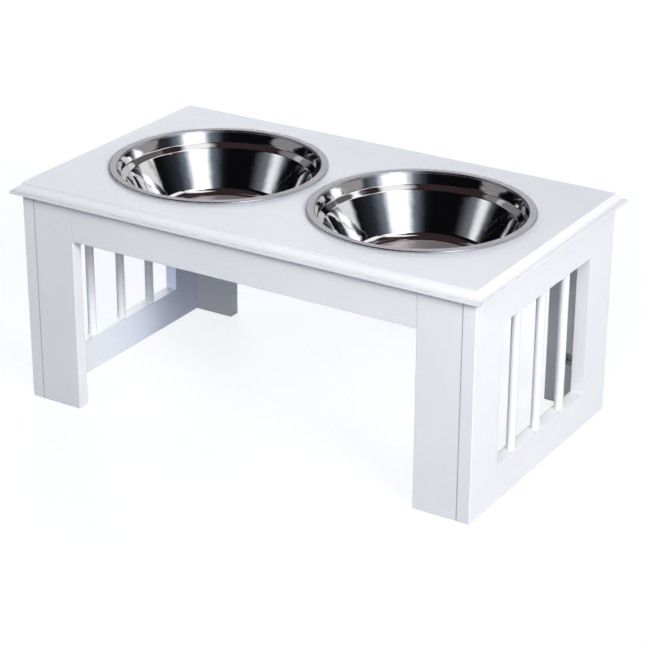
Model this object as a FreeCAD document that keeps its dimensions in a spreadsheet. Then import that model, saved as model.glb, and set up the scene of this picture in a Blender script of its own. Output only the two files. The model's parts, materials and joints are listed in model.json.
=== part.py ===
"""Raised pet feeder: two steel bowls drop into a moulded top board on knock-down wooden frames."""
import FreeCAD
import Part
import Sketcher
import math
import os
import re

# Driving dimensions in millimetres; a name that ends in angle is in degrees
SIZES = {
    # bowls
    "bowl_rim_diameter": 244,
    "bowl_flange_width": 8.5,
    "bowl_lip_height": 3,
    "bowl_lip_radius": 1.3,
    "bowl_wall": 0.8,
    "bowl_depth": 66,
    "bowl_band_depth": 13.5,
    "bowl_band_inset": 4,
    "bowl_shoulder_inset": 6,
    "bowl_shoulder_drop": 5,
    "bowl_bend_radius": 2.5,
    "bowl_base_diameter": 160,
    "bowl_corner_radius": 8,
    # top board, with margins from the rims to the outside of the frames
    "bowl_gap": 14,
    "bowl_hole_clearance": 2,
    "end_margin": 29,
    "long_margin": 36,
    "top_thickness": 12,
    "top_overhang": 10,
    "moulding_width": 10,
    "moulding_step": 2.6,
    "moulding_ledge": 0.8,
    "moulding_lip": 3.2,
    "moulding_lip_ledge": 1.2,
    "moulding_quirk": 0.6,
    # front and back frames
    "leg_height": 245,
    "leg_width": 51,
    "rail_depth": 44,
    "frame_thickness": 15,
    "edge_radius": 0.8,
    # side frames
    "side_thickness": 15,
    "stile_width": 57,
    "side_top_rail_depth": 44,
    "side_bottom_rail_depth": 40,
    "spindle_diameter": 10,
    "spindle_spacing": 56,
    "spindle_socket_depth": 10,
    # glued dowels
    "dowel_diameter": 8,
    "dowel_length": 30,
    "stile_dowel_depth": 9,
    "top_dowel_depth": 8,
    "rail_dowel_spacing": 22,
    "corner_dowel_inset": 26,
    "top_dowel_spacing": 150,
    "glue_clearance": 0.05,
    "glue_end_gap": 0.4,
    # cam locks and their bolts
    "cam_diameter": 15,
    "cam_skin": 3,
    "cam_running_clearance": 0.1,
    "cam_end_clearance": 0.3,
    "cam_distance": 24,
    "cam_inset": 56,
    "top_cam_spacing": 300,
    "cam_recess_length": 8,
    "cam_recess_width": 1.8,
    "cam_recess_depth": 2,
    "cam_turn_angle": 180,
    "bolt_thread_diameter": 5,
    "bolt_thread_length": 10,
    "bolt_shank_diameter": 6,
    "bolt_bore_diameter": 7,
    "bolt_neck_diameter": 3.6,
    "bolt_neck_clearance": 1,
    "bolt_head_diameter": 6,
    "bolt_head_length": 3.2,
    "bolt_head_clearance": 0.4,
    # how far every cutting shape runs past the wood or metal that it cuts
    "cut_overrun": 5,
}

# Sizes that follow from the driving ones
WORKED_OUT = {
    "stand_length": "2 * bowl_rim_diameter + bowl_gap + 2 * end_margin",
    "stand_depth": "bowl_rim_diameter + 2 * long_margin",
    "top_length": "stand_length + 2 * top_overhang",
    "top_depth": "stand_depth + 2 * top_overhang",
    "bowl_spacing": "bowl_rim_diameter + bowl_gap",
    "rim_radius": "bowl_rim_diameter / 2",
    "band_radius": "rim_radius - bowl_flange_width",
    "band_foot_radius": "band_radius - bowl_band_inset",
    "shoulder_radius": "band_foot_radius - bowl_shoulder_inset",
    "bowl_hole_diameter": "2 * (band_radius + bowl_wall + bowl_hole_clearance)",
    "rail_length": "stand_length - 2 * (side_thickness + leg_width)",
    "window_width": "stand_depth - 2 * stile_width",
    "window_height": "leg_height - side_top_rail_depth - side_bottom_rail_depth",
    "frame_middle": "frame_thickness / 2",
    "side_middle": "side_thickness / 2",
    "dowel_hole_diameter": "dowel_diameter + 2 * glue_clearance",
    "half_dowel_depth": "dowel_length / 2",
    "leg_dowel_depth": "dowel_length - stile_dowel_depth",
    "rail_top_dowel_depth": "dowel_length - top_dowel_depth",
    "cam_bore_diameter": "cam_diameter + 2 * cam_running_clearance",
    "cam_bore_depth": "frame_thickness - cam_skin",
    "cam_height": "cam_bore_depth - cam_end_clearance",
    "cam_radius": "cam_diameter / 2",
    "cam_bolt_level": "frame_middle - cam_skin - cam_end_clearance",
    "cam_seat": "stand_depth / 2 - cam_skin - cam_end_clearance",
    "head_pocket_diameter": "bolt_head_diameter + 2 * bolt_head_clearance",
    "head_corner_radius": "sqrt((bolt_head_length / 2)^2 + (bolt_head_diameter / 2)^2)",
    "head_pocket_radius": "head_corner_radius + bolt_head_clearance",
    "neck_slot_width": "bolt_neck_diameter + 2 * bolt_head_clearance",
    "neck_slot_angle": "cam_turn_angle * 1 deg + 2 * asin(neck_slot_width / (2 * head_pocket_radius))",
    "bolt_pilot_diameter": "bolt_thread_diameter + 2 * glue_clearance",
    "bolt_head_middle": "bolt_thread_length + cam_distance",
    "corner_joint": "stand_length / 2 - side_thickness",
}

# Which way each face lies from the middle along Y, and each side along X
FACE_NAMES = {-1: "front", 1: "back"}
SIDE_NAMES = {-1: "left", 1: "right"}
FRONT, BACK = FACE_NAMES
LEFT, RIGHT = SIDE_NAMES

# Place of each spindle, as a share of the spindle spacing from the middle of the window
SPINDLE_SHARES = {"front": -1, "middle": 0, "back": 1}

# Heights above the floor at which each leg is locked and pinned to its stile
CAM_LEVELS = ("cam_inset", "leg_height - cam_inset")
CORNER_DOWEL_LEVELS = ("corner_dowel_inset", "leg_height - corner_dowel_inset")

# Sketch points and axes by number
H_AXIS, V_AXIS = range(-1, -3, -1)
ORIGIN = H_AXIS
START, END, CENTRE = range(1, 4)
UP = FreeCAD.Vector(0, 0, 1)
FULL_TURN = 360
TOLERANCE = 1e-6

# Plane for cuts along each axis, and whether its normal points to the axis's plus end
CUT_PLANES = {"X": ("YZ_Plane", True), "Y": ("XZ_Plane", False), "Z": ("XY_Plane", True)}

doc = FreeCAD.newDocument("pet_feeder")
sheet = doc.addObject("Spreadsheet::Sheet", "Sizes")
rows = {name: str(size) for name, size in SIZES.items()}
rows.update({name: "=" + rule for name, rule in WORKED_OUT.items()})
for row, (alias, content) in enumerate(rows.items(), start=1):
    sheet.set(f"A{row}", alias)
    sheet.set(f"B{row}", content)
    sheet.setAlias(f"B{row}", alias)
doc.recompute()


def sized(text):
    """Expression with every size name pointed at the sheet"""
    return re.sub(r"[a-z_]+", lambda word: "Sizes." + word[0] if word[0] in rows else word[0], text)


def place(item, x, y, z, rotation=FreeCAD.Rotation()):
    """Put a piece at a point given as size expressions"""
    item.Placement = FreeCAD.Placement(FreeCAD.Vector(), rotation)
    for axis, text in zip("xyz", (x, y, z)):
        item.setExpression(f"Placement.Base.{axis}", sized(text))


def low_corner(way, reach, inset, size):
    """Low end of a board that lies inset from the end at reach, on the minus or plus side"""
    return f"-({reach}) + {inset}" if way < 0 else f"{reach} - ({inset}) - {size}"


def from_end(way, distance, span):
    """Place along a board, measured from its low end or, where way is plus, from its high end"""
    return distance if way < 0 else f"{span} - ({distance})"


def either_way(middle, spacing):
    """Two places, half the spacing each way from the middle"""
    return [f"{middle} {sign} ({spacing}) / 2" for sign in "-+"]


def sketch_on(body, role, name, offset="0"):
    """Empty sketch on one of the body's origin planes, moved along the plane's normal"""
    plane = next(item for item in body.Origin.OriginFeatures if item.Role == role)
    sketch = body.newObject("Sketcher::SketchObject", name)
    sketch.AttachmentSupport = [(plane, "")]
    sketch.MapMode = "FlatFace"
    sketch.setExpression("AttachmentOffset.Base.z", sized(offset))
    return sketch


def bind(sketch, constraint, name, text):
    """Add a constraint whose value is a size expression"""
    sketch.renameConstraint(sketch.addConstraint(constraint), name)
    sketch.setExpression("Constraints." + name, sized(text))


def fix_point(sketch, line, end, x, y):
    """Fix one point of a sketch at a pair of size expressions"""
    for kind, axis, text in (("DistanceX", V_AXIS, x), ("DistanceY", H_AXIS, y)):
        if text == "0":
            sketch.addConstraint(Sketcher.Constraint("PointOnObject", line, end, axis))
        else:
            rule = Sketcher.Constraint(kind, ORIGIN, START, line, end, 1.0)
            bind(sketch, rule, f"{kind}_{line}_{end}", text)


def outline(sketch, points):
    """Closed straight-sided outline through pairs of size expressions; gives its first line's number"""
    first = sketch.GeometryCount
    count = len(points)
    turns = [math.tau * number / count for number in range(count)]
    corners = [FreeCAD.Vector(math.cos(turn), math.sin(turn), 0) for turn in turns]
    sketch.addGeometry([Part.LineSegment(a, b) for a, b in zip(corners, corners[1:] + corners[:1])], False)
    for number, (x, y) in enumerate(points):
        following = first + (number + 1) % count
        sketch.addConstraint(Sketcher.Constraint("Coincident", first + number, END, following, START))
        fix_point(sketch, first + number, START, x, y)
    return first


def rectangle(sketch, left, bottom, right, top):
    """Rectangle between two corners given as size expressions"""
    outline(sketch, [(left, bottom), (right, bottom), (right, top), (left, top)])


def circle(sketch, x, y, diameter):
    """Circle at a pair of size expressions"""
    number = sketch.GeometryCount
    sketch.addGeometry(Part.Circle(FreeCAD.Vector(number, 0, 0), UP, 1.0), False)
    fix_point(sketch, number, CENTRE, x, y)
    bind(sketch, Sketcher.Constraint("Diameter", number, 1.0), f"diameter_{number}", diameter)


def pad(body, sketch, length):
    """Solid raised from a sketch along the plane's normal"""
    feature = body.newObject("PartDesign::Pad", "block")
    feature.Profile = sketch
    feature.setExpression("Length", sized(length))
    doc.recompute()


def turned(body, kind, sketch, angle=None):
    """Solid or groove turned round the upright axis, the whole way or evenly either side by an angle"""
    feature = body.newObject(kind, "turned")
    feature.Profile = sketch
    feature.ReferenceAxis = (sketch, ["V_Axis"])
    feature.Angle = FULL_TURN
    if angle:
        feature.Midplane = True
        feature.setExpression("Angle", sized(angle))
    return feature


def check_cut(body, before, name):
    """Recompute, and stop if a cut left the piece as it was"""
    doc.recompute()
    if not body.Shape.Volume < before:
        raise RuntimeError(f"{body.Label}: {name} removes nothing")


def cut(body, sketch, axis, way, depth, name):
    """Pocket along an axis, towards plus or minus, from the sketch's plane"""
    before = body.Shape.Volume
    feature = body.newObject("PartDesign::Pocket", name)
    feature.Profile = sketch
    to_plus = way > 0
    feature.Reversed = to_plus == CUT_PLANES[axis][1]
    feature.setExpression("Length", sized(depth))
    check_cut(body, before, name)


def groove(body, left, bottom, right, top, name, angle=None):
    """Rectangular groove turned into a round piece"""
    before = body.Shape.Volume
    profile = sketch_on(body, "XZ_Plane", name)
    rectangle(profile, left, bottom, right, top)
    turned(body, "PartDesign::Groove", profile, angle)
    check_cut(body, before, name)


def drill(body, name, axis, start, way, centres, diameter, depth):
    """Round holes of one size along an axis, from the face at start towards plus or minus"""
    role, faces_plus = CUT_PLANES[axis]
    marks = sketch_on(body, role, name + "_marks", start if faces_plus else f"-({start})")
    for x, y in centres:
        circle(marks, x, y, diameter)
    cut(body, marks, axis, way, depth, name)


def board(label, size, corner):
    """Square-edged board with its low corner at the body's own origin"""
    body = doc.addObject("PartDesign::Body", label)
    section = sketch_on(body, "XY_Plane", "section")
    length, width, height = size
    rectangle(section, "0", "0", length, width)
    pad(body, section, height)
    place(body, *corner)
    return body


def ease(body, axis, on_edge):
    """Round over the edges along an axis whose end satisfies on_edge"""
    block = body.Tip
    names = []
    for number, edge in enumerate(block.Shape.Edges, start=1):
        low, high = (vertex.Point for vertex in edge.Vertexes)
        run = high - low
        along = abs(getattr(run, axis.lower()))
        if along > run.Length * (1 - TOLERANCE) and on_edge(low):
            names.append(f"Edge{number}")
    fillet = body.newObject("PartDesign::Fillet", "eased_edges")
    fillet.Base = (block, names)
    fillet.setExpression("Radius", sized("edge_radius"))
    doc.recompute()


def make_leg(side, face):
    """Leg of the front or back frame, pinned to its rail and locked to its stile"""
    label = f"{FACE_NAMES[face]}_{SIDE_NAMES[side]}_leg"
    corner = (
        low_corner(side, "stand_length / 2", "side_thickness", "leg_width"),
        low_corner(face, "stand_depth / 2", "0", "frame_thickness"),
        "0",
    )
    body = board(label, ("leg_width", "frame_thickness", "leg_height"), corner)
    ease(body, "Z", lambda point: True)
    inside = from_end(-face, "0", "frame_thickness")
    outer = from_end(side, "0", "leg_width")
    inner = from_end(-side, "0", "leg_width")
    cams = [(from_end(side, "cam_distance", "leg_width"), level) for level in CAM_LEVELS]
    drill(body, "cam_bores", "Y", inside, face, cams, "cam_bore_diameter", "cam_bore_depth")
    bolts = [("frame_middle", level) for level in CAM_LEVELS]
    drill(body, "bolt_bores", "X", outer, -side, bolts, "bolt_bore_diameter", "cam_distance")
    corner_pins = [("frame_middle", level) for level in CORNER_DOWEL_LEVELS]
    corner_depth = "leg_dowel_depth + glue_end_gap"
    drill(body, "corner_holes", "X", outer, -side, corner_pins, "dowel_hole_diameter", corner_depth)
    rail_levels = either_way("leg_height - rail_depth / 2", "rail_dowel_spacing")
    rail_pins = [("frame_middle", level) for level in rail_levels]
    rail_depth = "half_dowel_depth + glue_end_gap"
    drill(body, "rail_holes", "X", inner, side, rail_pins, "dowel_hole_diameter", rail_depth)
    return body


def make_rail(face):
    """Rail between two legs, which also carries the top board"""
    corner = (
        "-rail_length / 2",
        low_corner(face, "stand_depth / 2", "0", "frame_thickness"),
        "leg_height - rail_depth",
    )
    size = ("rail_length", "frame_thickness", "rail_depth")
    body = board(f"{FACE_NAMES[face]}_rail", size, corner)
    ease(body, "X", lambda point: abs(point.z) < TOLERANCE)
    pins = [("frame_middle", z) for z in either_way("rail_depth / 2", "rail_dowel_spacing")]
    depth = "half_dowel_depth + glue_end_gap"
    for end in (LEFT, RIGHT):
        start = from_end(end, "0", "rail_length")
        drill(body, f"{SIDE_NAMES[end]}_holes", "X", start, -end, pins, "dowel_hole_diameter", depth)
    cam_places = either_way("rail_length / 2", "top_cam_spacing")
    inside = from_end(-face, "0", "frame_thickness")
    cams = [(x, "rail_depth - cam_distance") for x in cam_places]
    drill(body, "cam_bores", "Y", inside, face, cams, "cam_bore_diameter", "cam_bore_depth")
    bolts = [(x, "frame_middle") for x in cam_places]
    drill(body, "bolt_bores", "Z", "rail_depth", -1, bolts, "bolt_bore_diameter", "cam_distance")
    top_pins = [(x, "frame_middle") for x in either_way("rail_length / 2", "top_dowel_spacing")]
    top_depth = "rail_top_dowel_depth + glue_end_gap"
    drill(body, "top_holes", "Z", "rail_depth", -1, top_pins, "dowel_hole_diameter", top_depth)
    return body


def side_rail_levels(side_rail, foot):
    """Heights of the two dowels at each end of a side rail"""
    return either_way(f"{foot} + {side_rail} / 2", "rail_dowel_spacing")


def make_stile(side, face):
    """Upright of a side frame, whose edge shows at the stand's corner"""
    label = f"{SIDE_NAMES[side]}_{FACE_NAMES[face]}_stile"
    corner = (
        low_corner(side, "stand_length / 2", "0", "side_thickness"),
        low_corner(face, "stand_depth / 2", "0", "stile_width"),
        "0",
    )
    body = board(label, ("side_thickness", "stile_width", "leg_height"), corner)
    box = body.Tip.Shape.BoundBox
    outer_edge = box.YMin if face == FRONT else box.YMax
    ease(body, "Z", lambda point: abs(point.y - outer_edge) < TOLERANCE)
    inside = from_end(-side, "0", "side_thickness")
    leg_line = from_end(face, "frame_middle", "stile_width")
    bolts = [(leg_line, level) for level in CAM_LEVELS]
    bolt_depth = "bolt_thread_length + glue_end_gap"
    drill(body, "bolt_pilots", "X", inside, side, bolts, "bolt_pilot_diameter", bolt_depth)
    corner_pins = [(leg_line, level) for level in CORNER_DOWEL_LEVELS]
    corner_depth = "stile_dowel_depth + glue_end_gap"
    drill(body, "corner_holes", "X", inside, side, corner_pins, "dowel_hole_diameter", corner_depth)
    levels = side_rail_levels("side_top_rail_depth", "leg_height - side_top_rail_depth")
    levels += side_rail_levels("side_bottom_rail_depth", "0")
    pins = [("side_middle", level) for level in levels]
    window_edge = from_end(-face, "0", "stile_width")
    depth = "half_dowel_depth + glue_end_gap"
    drill(body, "rail_holes", "Y", window_edge, face, pins, "dowel_hole_diameter", depth)
    return body


def make_side_rail(side, name, depth, foot, socket_start, socket_way):
    """Top or bottom rail of a side frame, with sockets for the spindles"""
    corner = (low_corner(side, "stand_length / 2", "0", "side_thickness"), "-window_width / 2", foot)
    label = f"{SIDE_NAMES[side]}_{name}_rail"
    body = board(label, ("side_thickness", "window_width", depth), corner)
    pins = [("side_middle", level) for level in side_rail_levels(depth, "0")]
    pin_depth = "half_dowel_depth + glue_end_gap"
    for end in (FRONT, BACK):
        start = from_end(end, "0", "window_width")
        drill(body, f"{FACE_NAMES[end]}_holes", "Y", start, -end, pins, "dowel_hole_diameter", pin_depth)
    shares = SPINDLE_SHARES.values()
    spots = [("side_middle", f"window_width / 2 + {share} * spindle_spacing") for share in shares]
    diameter = "spindle_diameter + 2 * glue_clearance"
    socket_depth = "spindle_socket_depth + glue_end_gap"
    drill(body, "sockets", "Z", socket_start, socket_way, spots, diameter, socket_depth)
    return body


def make_spindle(side, name, share):
    """Round upright in a side frame's window"""
    body = doc.addObject("PartDesign::Body", f"{SIDE_NAMES[side]}_{name}_spindle")
    section = sketch_on(body, "XY_Plane", "section")
    circle(section, "0", "0", "spindle_diameter")
    pad(body, section, "window_height + 2 * spindle_socket_depth")
    x = f"{side} * (stand_length / 2 - side_middle)"
    place(body, x, f"{share} * spindle_spacing", "side_bottom_rail_depth - spindle_socket_depth")
    return body


def cove(sketch, chord):
    """Hollow of the moulding: an arc over a chord, level where the chord ends"""
    begin, finish = sketch.getPoint(chord, START), sketch.getPoint(chord, END)
    span = finish - begin
    radius = span.Length ** 2 / (2 * (begin.y - finish.y))
    middle = FreeCAD.Vector(finish.x, finish.y + radius, 0)
    angles = {START: math.atan2(begin.y - middle.y, begin.x - middle.x), END: -math.pi / 2}
    low, high = sorted(angles, key=angles.get)
    ring = Part.Circle(middle, UP, radius)
    arc = sketch.addGeometry(Part.ArcOfCircle(ring, angles[low], angles[high]), False)
    sketch.toggleConstruction(chord)
    sketch.addConstraint(Sketcher.Constraint("Coincident", arc, START, chord, low))
    sketch.addConstraint(Sketcher.Constraint("Coincident", arc, END, chord, high))
    sketch.addConstraint(Sketcher.Constraint("Vertical", arc, CENTRE, chord, END))


def cut_moulding(body, axis, span, run):
    """Edge moulding along both edges that run along an axis, mitred where the other pair crosses it"""
    role, faces_plus = CUT_PLANES[axis]
    start = "-cut_overrun" if faces_plus else "cut_overrun"
    profile = sketch_on(body, role, f"moulding_along_{axis.lower()}", start)
    section = {
        "step_above": ("moulding_width", "top_thickness + cut_overrun"),
        "step_foot": ("moulding_width", "top_thickness - moulding_step"),
        "hollow_top": ("moulding_width - moulding_ledge", "top_thickness - moulding_step"),
        "hollow_foot": ("moulding_lip_ledge", "moulding_lip + moulding_quirk"),
        "lip_ledge": ("moulding_lip_ledge", "moulding_lip"),
        "lip_outside": ("-cut_overrun", "moulding_lip"),
        "outside_above": ("-cut_overrun", "top_thickness + cut_overrun"),
    }
    hollow = list(section).index("hollow_top")
    edges = [[(from_end(way, u, span), z) for u, z in section.values()] for way in (LEFT, RIGHT)]
    first_lines = [outline(profile, edge) for edge in edges]
    doc.recompute()
    for first_line in first_lines:
        cove(profile, first_line + hollow)
    cut(body, profile, axis, 1, f"{run} + 2 * cut_overrun", f"moulding_{axis.lower()}")


def make_top():
    """Top board with a moulded edge, two bowl holes and the fittings' holes underneath"""
    size = ("top_length", "top_depth", "top_thickness")
    body = board("top_board", size, ("-top_length / 2", "-top_depth / 2", "leg_height"))
    cut_moulding(body, "Y", "top_length", "top_depth")
    cut_moulding(body, "X", "top_depth", "top_length")
    holes = [(x, "top_depth / 2") for x in either_way("top_length / 2", "bowl_spacing")]
    through = "top_thickness + 2 * cut_overrun"
    drill(body, "bowl_holes", "Z", "-cut_overrun", 1, holes, "bowl_hole_diameter", through)
    rows_across = [from_end(face, "top_overhang + frame_middle", "top_depth") for face in FACE_NAMES]
    bolts = [(x, y) for x in either_way("top_length / 2", "top_cam_spacing") for y in rows_across]
    bolt_depth = "bolt_thread_length + glue_end_gap"
    drill(body, "bolt_pilots", "Z", "0", 1, bolts, "bolt_pilot_diameter", bolt_depth)
    pins = [(x, y) for x in either_way("top_length / 2", "top_dowel_spacing") for y in rows_across]
    drill(body, "dowel_holes", "Z", "0", 1, pins, "dowel_hole_diameter", "top_dowel_depth + glue_end_gap")
    return body


def round_bend(body, base, profile, corners, radius):
    """Round the turned edges that run through the named corners of the profile"""
    spots = [profile.getPoint(corner, START) for corner in corners]
    names = []
    for number, edge in enumerate(base.Shape.Edges, start=1):
        if not isinstance(edge.Curve, Part.Circle):
            continue
        here = FreeCAD.Vector(edge.Curve.Radius, edge.Curve.Center.z, 0)
        if any((here - spot).Length < TOLERANCE for spot in spots):
            names.append(f"Edge{number}")
    if len(names) < len(corners):
        raise RuntimeError(f"{body.Label}: a bend was not found")
    fillet = body.newObject("PartDesign::Fillet", "bend")
    fillet.Base = (base, names)
    fillet.setExpression("Radius", sized(radius))
    doc.recompute()
    return fillet


def make_bowl(side):
    """Spun steel bowl: flat floor, sloped wall, shoulder, band, flange and turned-down lip"""
    body = doc.addObject("PartDesign::Body", f"{SIDE_NAMES[side]}_bowl")
    profile = sketch_on(body, "XZ_Plane", "wall_section")
    section = {
        "floor_inside_middle": ("0", "bowl_wall"),
        "floor_inside": ("bowl_base_diameter / 2", "bowl_wall"),
        "shoulder_inside_low": ("shoulder_radius", "bowl_depth - bowl_band_depth - bowl_shoulder_drop"),
        "shoulder_inside_high": ("band_foot_radius", "bowl_depth - bowl_band_depth"),
        "flange_inner_edge": ("band_radius", "bowl_depth"),
        "lip_top": ("rim_radius", "bowl_depth"),
        "lip_foot_outside": ("rim_radius", "bowl_depth - bowl_lip_height"),
        "lip_foot_inside": ("rim_radius - bowl_wall", "bowl_depth - bowl_lip_height"),
        "lip_under_flange": ("rim_radius - bowl_wall", "bowl_depth - bowl_wall"),
        "band_under_flange": ("band_radius + bowl_wall", "bowl_depth - bowl_wall"),
        "shoulder_outside_high": (
            "band_foot_radius + bowl_wall",
            "bowl_depth - bowl_band_depth - bowl_wall / 2",
        ),
        "shoulder_outside_low": (
            "shoulder_radius + bowl_wall",
            "bowl_depth - bowl_band_depth - bowl_shoulder_drop - bowl_wall / 2",
        ),
        "floor_outside": ("(bowl_base_diameter + bowl_wall) / 2", "0"),
        "floor_outside_middle": ("0", "0"),
    }
    outline(profile, list(section.values()))
    corner = {name: number for number, name in enumerate(section)}
    shell = turned(body, "PartDesign::Revolution", profile)
    doc.recompute()
    shoulders = [corner[name] for name in section if name.startswith("shoulder")]
    bends = [
        ([corner["floor_inside"]], "bowl_corner_radius"),
        ([corner["floor_outside"]], "bowl_corner_radius + bowl_wall"),
        (shoulders, "bowl_bend_radius"),
        ([corner["flange_inner_edge"], corner["lip_top"]], "bowl_lip_radius"),
    ]
    for corners, radius in bends:
        shell = round_bend(body, shell, profile, corners, radius)
    rise = "leg_height + top_thickness + bowl_lip_height - bowl_depth"
    place(body, f"{side} * bowl_spacing / 2", "0", rise)
    return body


def make_cam(label, x, y, z, facing, bolt_way):
    """Cam lock: a disc with a cross recess, a pocket for the bolt's head and a slot for its neck"""
    body = doc.addObject("PartDesign::Body", label)
    disc = sketch_on(body, "XY_Plane", "disc")
    circle(disc, "0", "0", "cam_diameter")
    pad(body, disc, "cam_height")
    reach = "cam_radius + cut_overrun"
    low, high = either_way("cam_bolt_level", "head_pocket_diameter")
    groove(body, "0", low, "head_pocket_radius", high, "head_pocket")
    low, high = either_way("cam_bolt_level", "neck_slot_width")
    groove(body, "head_pocket_radius / 2", low, reach, high, "neck_slot", "neck_slot_angle")
    mouth = sketch_on(body, "XZ_Plane", "mouth")
    circle(mouth, "0", "cam_bolt_level", "head_pocket_diameter")
    cut(body, mouth, "Y", -1, reach, "head_mouth")
    sides = ("cam_recess_length / 2", "cam_recess_width / 2")
    for wide, tall in (sides, sides[::-1]):
        cross = sketch_on(body, "XY_Plane", "cross", "cam_height")
        rectangle(cross, f"-{wide}", f"-{tall}", wide, tall)
        cut(body, cross, "Z", -1, "cam_recess_depth", "cross_recess")
    place(body, x, y, z, FreeCAD.Rotation(bolt_way.cross(facing), bolt_way, facing, "ZYX"))
    return body


def make_bolt(label, x, y, z, way):
    """Cam bolt, from the tip of its thread to its head along way"""
    body = doc.addObject("PartDesign::Body", label)
    profile = sketch_on(body, "XZ_Plane", "half_section")
    neck = "bolt_head_middle - cam_radius - bolt_neck_clearance"
    head, end = either_way("bolt_head_middle", "bolt_head_length")
    steps = (
        ("bolt_thread_diameter / 2", "0", "bolt_thread_length"),
        ("bolt_shank_diameter / 2", "bolt_thread_length", neck),
        ("bolt_neck_diameter / 2", neck, head),
        ("bolt_head_diameter / 2", head, end),
    )
    walls = [(radius, level) for radius, low, high in steps for level in (low, high)]
    outline(profile, [("0", "0"), *walls, ("0", end)])
    turned(body, "PartDesign::Revolution", profile)
    doc.recompute()
    place(body, x, y, z, FreeCAD.Rotation(UP, way))
    return body


def make_dowel(label, x, y, z, way):
    """Plain wooden dowel from a point along way"""
    dowel = doc.addObject("Part::Cylinder", label)
    dowel.setExpression("Radius", sized("dowel_diameter / 2"))
    dowel.setExpression("Height", sized("dowel_length"))
    place(dowel, x, y, z, FreeCAD.Rotation(UP, way))
    return dowel


def group(label, members):
    """Like fasteners kept together as one sub-part of separate solids"""
    together = doc.addObject("Part::Compound", label)
    together.Links = members
    return together


def axis_vector(axis, way):
    """Unit vector along X, Y or Z, towards plus or minus"""
    return FreeCAD.Vector(*(way if letter == axis else 0 for letter in "XYZ"))


def make_cams():
    """One cam at each leg lock and each top lock; the recess faces the inside of the stand"""
    cams = []
    for face in FACE_NAMES:
        inward = axis_vector("Y", -face)
        seat = f"{face} * cam_seat"
        for side in SIDE_NAMES:
            stem = f"{FACE_NAMES[face]}_{SIDE_NAMES[side]}"
            x = f"{side} * (corner_joint - cam_distance)"
            for name, level in zip(("lower", "upper"), CAM_LEVELS):
                outward = axis_vector("X", side)
                cams.append(make_cam(f"{stem}_{name}_cam", x, seat, level, inward, outward))
            x = f"{side} * top_cam_spacing / 2"
            cams.append(make_cam(f"{stem}_top_cam", x, seat, "leg_height - cam_distance", inward, UP))
    return cams


def make_bolts():
    """Cam bolts in the stiles and in the underside of the top board"""
    leg_bolts, top_bolts = [], []
    for face in FACE_NAMES:
        y = f"{face} * (stand_depth / 2 - frame_middle)"
        for side in SIDE_NAMES:
            x = f"{side} * (corner_joint + bolt_thread_length)"
            for level in CAM_LEVELS:
                leg_bolts.append(make_bolt("leg_cam_bolt", x, y, level, axis_vector("X", -side)))
            x = f"{side} * top_cam_spacing / 2"
            top_bolts.append(make_bolt("top_cam_bolt", x, y, "leg_height + bolt_thread_length", -UP))
    return [group("leg_cam_bolts", leg_bolts), group("top_cam_bolts", top_bolts)]


def make_dowels():
    """Dowels in every glued joint"""
    corner, rail, side_frame, top = [], [], [], []
    for face in FACE_NAMES:
        y = f"{face} * (stand_depth / 2 - frame_middle)"
        for side in SIDE_NAMES:
            inward = axis_vector("X", -side)
            x = f"{side} * (corner_joint + stile_dowel_depth)"
            corner += [make_dowel("corner_dowel", x, y, z, inward) for z in CORNER_DOWEL_LEVELS]
            x = f"{side} * (rail_length / 2 + half_dowel_depth)"
            levels = either_way("leg_height - rail_depth / 2", "rail_dowel_spacing")
            rail += [make_dowel("rail_dowel", x, y, z, inward) for z in levels]
            levels = side_rail_levels("side_top_rail_depth", "leg_height - side_top_rail_depth")
            levels += side_rail_levels("side_bottom_rail_depth", "0")
            x = f"{side} * (stand_length / 2 - side_middle)"
            start = f"{face} * (window_width / 2 + half_dowel_depth)"
            side_frame += [make_dowel("side_dowel", x, start, z, axis_vector("Y", -face)) for z in levels]
            x = f"{side} * top_dowel_spacing / 2"
            top.append(make_dowel("top_dowel", x, y, "leg_height + top_dowel_depth", -UP))
    groups = {
        "corner_dowels": corner,
        "rail_dowels": rail,
        "side_frame_dowels": side_frame,
        "top_dowels": top,
    }
    return [group(label, members) for label, members in groups.items()]


sub_parts = [make_top()]
for face in FACE_NAMES:
    sub_parts.append(make_rail(face))
    sub_parts += [make_leg(side, face) for side in SIDE_NAMES]
for side in SIDE_NAMES:
    sub_parts += [make_stile(side, face) for face in FACE_NAMES]
    top_foot = "leg_height - side_top_rail_depth"
    sub_parts.append(make_side_rail(side, "top", "side_top_rail_depth", top_foot, "0", 1))
    bottom_depth = "side_bottom_rail_depth"
    sub_parts.append(make_side_rail(side, "bottom", bottom_depth, "0", bottom_depth, -1))
    sub_parts += [make_spindle(side, name, share) for name, share in SPINDLE_SHARES.items()]
    sub_parts.append(make_bowl(side))
sub_parts += make_cams() + make_bolts() + make_dowels()
doc.recompute()

for item in doc.Objects:
    if "Invalid" in item.State or "Error" in item.State:
        raise RuntimeError(f"{item.Label} failed: {item.State}")
for part in sub_parts:
    if part.Shape.isNull() or not part.Shape.isValid() or not part.Shape.Solids:
        raise RuntimeError(f"{part.Label} has no sound solid")

os.makedirs("parts", exist_ok=True)
for part in sub_parts:
    part.Shape.exportStep(f"parts/{part.Label}.step")
    print(f"{part.Label}: {len(part.Shape.Solids)} solids, {part.Shape.Volume:.1f} mm3")
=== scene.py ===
"""Raised pet feeder: white-painted knock-down frame with two polished steel bowls, on a studio floor."""
import json
import math

import bpy
from mathutils import Matrix, Vector


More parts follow.
